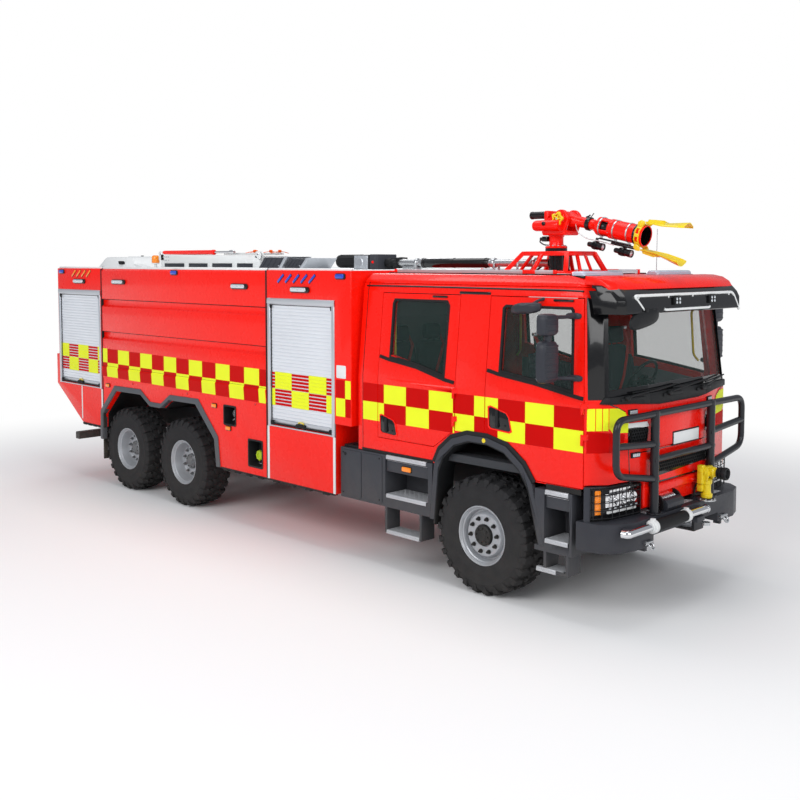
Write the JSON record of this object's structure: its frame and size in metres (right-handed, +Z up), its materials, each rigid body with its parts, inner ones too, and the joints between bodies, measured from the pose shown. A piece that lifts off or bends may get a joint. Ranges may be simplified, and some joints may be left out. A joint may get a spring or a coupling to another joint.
{
  "type": "airport fire truck",
  "caption": "Airport fire truck with crew cab, tank body, equipment lockers, steered front axle, rear bogie, roof monitor and bumper monitor.",
  "frame": {"origin": "bottom centre of the bounding box, on the ground under the middle of the truck", "axes": "+X towards the front of the truck, +Y to its left, +Z up"},
  "size_m": [10.435, 3.24, 3.817],
  "materials": {
    "red_paint": "gloss paint, orange-red",
    "anthracite_paint": "satin paint, dark grey",
    "chassis_paint": "satin paint, near black",
    "engine_block": "rough casting",
    "cab_plastic": "moulded grain",
    "seat_fabric": "woven cloth",
    "glass": "tinted safety glass",
    "shutter_aluminium": "anodised slats",
    "yellow_paint": "gloss paint, yellow",
    "white_paint": "satin paint, white",
    "tyre": "moulded rubber",
    "rim": "silver paint"
  },
  "bodies": {
    "chassis": {"chassis_frame": "chassis_paint", "engine": "engine_block", "driveline": "chassis_paint", "front_axle": "chassis_paint", "rear_bogie": "chassis_paint", "cab_floor": "cab_plastic", "cab_frame": "red_paint", "cab_front_panel": "red_paint", "cab_roof": "red_paint", "windscreen": "glass", "dashboard": "cab_plastic", "front_seats": "seat_fabric", "rear_bench": "seat_fabric", "cab_steps_left": "anthracite_paint", "cab_steps_right": "anthracite_paint", "front_bumper": "anthracite_paint", "bull_bar": "anthracite_paint", "tank_body": "red_paint", "front_locker": "red_paint", "rear_locker": "red_paint", "shutter_front_left": "shutter_aluminium", "shutter_front_right": "shutter_aluminium", "shutter_rear_left": "shutter_aluminium", "shutter_rear_right": "shutter_aluminium", "shutter_tail": "shutter_aluminium", "roof_rack": "white_paint", "roof_box": "white_paint", "monitor_feed": "red_paint", "monitor_stand": "anthracite_paint"},
    "steering_knuckle_left": {"knuckle_left": "chassis_paint"},
    "steering_knuckle_right": {"knuckle_right": "chassis_paint"},
    "roof_turret": {"monitor_turret": "anthracite_paint"},
    "roof_barrel": {"monitor_barrel": "anthracite_paint"},
    "jaw_upper": {"monitor_jaw_upper": "yellow_paint"},
    "jaw_lower": {"monitor_jaw_lower": "yellow_paint"},
    "bumper_turret": {"spray_turret": "anthracite_paint"},
    "bumper_nozzle": {"spray_nozzle": "yellow_paint"},
    "front_wheel_left": {"wheel_front_left": "rim", "tyre_front_left": "tyre"},
    "middle_wheel_left": {"wheel_middle_left": "rim", "tyre_middle_left": "tyre"},
    "rear_wheel_left": {"wheel_rear_left": "rim", "tyre_rear_left": "tyre"},
    "front_door_left": {"door_front_left": "red_paint", "door_glass_front_left": "glass"},
    "rear_door_left": {"door_rear_left": "red_paint", "door_glass_rear_left": "glass"},
    "front_wheel_right": {"wheel_front_right": "rim", "tyre_front_right": "tyre"},
    "middle_wheel_right": {"wheel_middle_right": "rim", "tyre_middle_right": "tyre"},
    "rear_wheel_right": {"wheel_rear_right": "rim", "tyre_rear_right": "tyre"},
    "front_door_right": {"door_front_right": "red_paint", "door_glass_front_right": "glass"},
    "rear_door_right": {"door_rear_right": "red_paint", "door_glass_rear_right": "glass"}
  },
  "joints": [
    {"name": "steer_left", "type": "hinge", "parent": "chassis", "child": "steering_knuckle_left", "pos_m": [3.4425, 0.88, 0.59], "axis": [0, 0, 1], "range_deg": [-35, 35]},
    {"name": "spin_front_left", "type": "hinge", "parent": "steering_knuckle_left", "child": "front_wheel_left", "pos_m": [3.4425, 1.03, 0.59], "axis": [0, 1, 0], "continuous": true},
    {"name": "spin_middle_left", "type": "hinge", "parent": "chassis", "child": "middle_wheel_left", "pos_m": [-1.8075, 1.03, 0.59], "axis": [0, 1, 0], "continuous": true},
    {"name": "spin_rear_left", "type": "hinge", "parent": "chassis", "child": "rear_wheel_left", "pos_m": [-3.2275, 1.03, 0.59], "axis": [0, 1, 0], "continuous": true},
    {"name": "open_front_door_left", "type": "hinge", "parent": "chassis", "child": "front_door_left", "pos_m": [4.6375, 1.242, 2.045], "axis": [0, 0, -1], "range_deg": [0, 75]},
    {"name": "open_rear_door_left", "type": "hinge", "parent": "chassis", "child": "rear_door_left", "pos_m": [3.0925, 1.242, 2.045], "axis": [0, 0, -1], "range_deg": [0, 75]},
    {"name": "steer_right", "type": "hinge", "parent": "chassis", "child": "steering_knuckle_right", "pos_m": [3.4425, -0.88, 0.59], "axis": [0, 0, 1], "range_deg": [-35, 35]},
    {"name": "spin_front_right", "type": "hinge", "parent": "steering_knuckle_right", "child": "front_wheel_right", "pos_m": [3.4425, -1.03, 0.59], "axis": [0, 1, 0], "continuous": true},
    {"name": "spin_middle_right", "type": "hinge", "parent": "chassis", "child": "middle_wheel_right", "pos_m": [-1.8075, -1.03, 0.59], "axis": [0, 1, 0], "continuous": true},
    {"name": "spin_rear_right", "type": "hinge", "parent": "chassis", "child": "rear_wheel_right", "pos_m": [-3.2275, -1.03, 0.59], "axis": [0, 1, 0], "continuous": true},
    {"name": "open_front_door_right", "type": "hinge", "parent": "chassis", "child": "front_door_right", "pos_m": [4.6375, -1.242, 2.045], "axis": [0, 0, 1], "range_deg": [0, 75]},
    {"name": "open_rear_door_right", "type": "hinge", "parent": "chassis", "child": "rear_door_right", "pos_m": [3.0925, -1.242, 2.045], "axis": [0, 0, 1], "range_deg": [0, 75]},
    {"name": "roof_monitor_turn", "type": "hinge", "parent": "chassis", "child": "roof_turret", "pos_m": [3.4225, 0, 3.42], "axis": [0, 0, 1], "range_deg": [-135, 135]},
    {"name": "roof_monitor_lift", "type": "hinge", "parent": "roof_turret", "child": "roof_barrel", "pos_m": [3.5625, 0, 3.72], "axis": [0, -1, 0], "range_deg": [0, 90]},
    {"name": "jaw_upper_close", "type": "hinge", "parent": "roof_barrel", "child": "jaw_upper", "pos_m": [4.53483, 0, 3.65651], "axis": [0, 1, 0], "range_deg": [0, 20]},
    {"name": "jaw_lower_close", "type": "hinge", "parent": "roof_barrel", "child": "jaw_lower", "pos_m": [4.48007, 0, 3.39212], "axis": [0, -1, 0], "range_deg": [0, 20]},
    {"name": "bumper_monitor_turn", "type": "hinge", "parent": "chassis", "child": "bumper_turret", "pos_m": [5.0025, 0.35, 0.95], "axis": [0, 0, 1], "range_deg": [-35, 35]},
    {"name": "bumper_monitor_lift", "type": "hinge", "parent": "bumper_turret", "child": "bumper_nozzle", "pos_m": [5.0025, 0.35, 1.235], "axis": [0, -1, 0], "range_deg": [-15, 60]}
  ],
  "couplings": [
    {"joint": "steer_left", "follows": "steer_right", "ratio": 1},
    {"joint": "jaw_lower_close", "follows": "jaw_upper_close", "ratio": 1}
  ]
}
